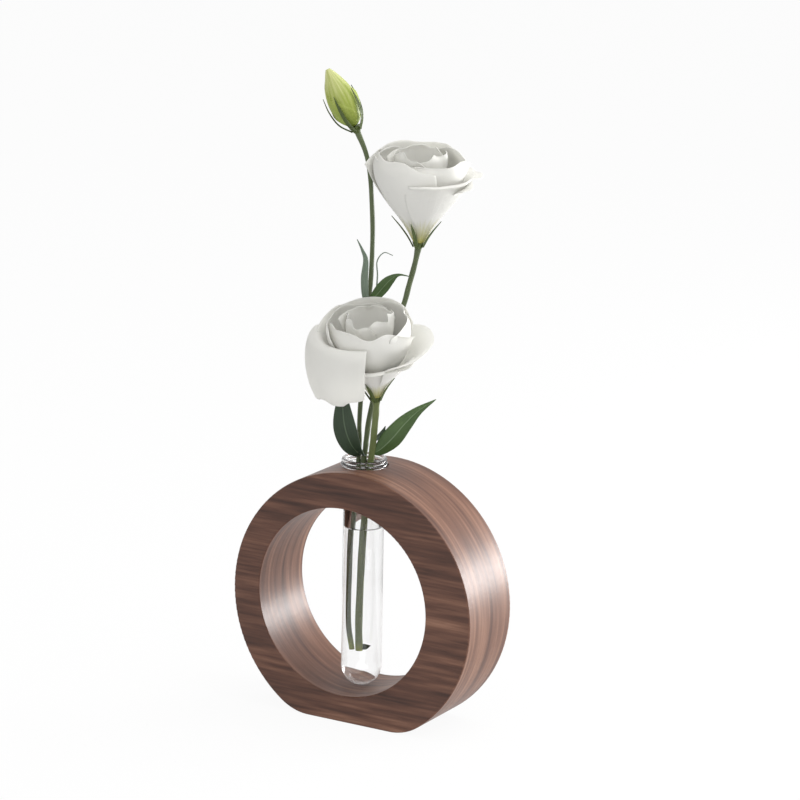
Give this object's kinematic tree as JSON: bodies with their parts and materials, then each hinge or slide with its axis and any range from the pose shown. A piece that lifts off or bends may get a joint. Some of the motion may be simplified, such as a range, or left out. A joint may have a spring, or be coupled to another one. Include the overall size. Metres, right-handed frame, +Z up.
{
  "type": "test tube vase",
  "caption": "Walnut ring on a flat foot with a glass test tube hanging by its rim through the crown, holding water and a lift-out spray of white lisianthus.",
  "frame": {"origin": "on the supporting surface under the ring's centre, at the middle of the flat foot", "axes": "+Z up, X along the ring's width, Y through the window from the front face (-Y) to the back"},
  "size_m": [0.15, 0.082, 0.3568],
  "materials": {
    "walnut": "satin lacquered walnut, long streaky grain",
    "tube_glass": "clear polished laboratory glass",
    "water": "clear still water",
    "stem": "smooth waxy green stem",
    "leaf": "satin dark green leaf with a pale midrib",
    "calyx": "matt green sepals",
    "petal": "soft white petal, greenish yellow at the claw",
    "bud_petal": "yellow-green furled petal with pale streaks",
    "pistil": "matt yellow-green"
  },
  "bodies": {
    "ring": {"wood_ring": "walnut"},
    "tube": {"glass_tube": "tube_glass", "water": "water"},
    "spray": {"bud_stem": "stem", "upper_bloom_stalk": "stem", "lower_bloom_stem": "stem", "left_leaf": "leaf", "right_leaf": "leaf", "small_leaf": "leaf", "node_leaf": "leaf", "curled_leaf": "leaf", "side_leaf": "leaf", "stub_leaf": "leaf", "lower_bloom_calyx": "calyx", "lower_bloom_petal_1": "petal", "lower_bloom_petal_2": "petal", "lower_bloom_petal_3": "petal", "lower_bloom_petal_4": "petal", "lower_bloom_petal_5": "petal", "lower_bloom_petal_6": "petal", "lower_bloom_petal_7": "petal", "lower_bloom_petal_8": "petal", "lower_bloom_petal_9": "petal", "lower_bloom_petal_10": "petal", "lower_bloom_pistil": "pistil", "upper_bloom_calyx": "calyx", "upper_bloom_petal_1": "petal", "upper_bloom_petal_2": "petal", "upper_bloom_petal_3": "petal", "upper_bloom_petal_4": "petal", "upper_bloom_petal_5": "petal", "upper_bloom_petal_6": "petal", "upper_bloom_petal_7": "petal", "upper_bloom_petal_8": "petal", "upper_bloom_petal_9": "petal", "upper_bloom_petal_10": "petal", "upper_bloom_pistil": "pistil", "bud_calyx": "calyx", "bud_petal_1": "bud_petal", "bud_petal_2": "bud_petal", "bud_petal_3": "bud_petal"}
  },
  "joints": [
    {"name": "tube_lift", "type": "slide", "parent": "ring", "child": "tube", "axis": [0, 0, 1], "range_m": [0, 0.14]},
    {"name": "spray_lift", "type": "slide", "parent": "tube", "child": "spray", "axis": [0, 0, 1], "range_m": [0, 0.12], "deforming": ["water"]}
  ]
}
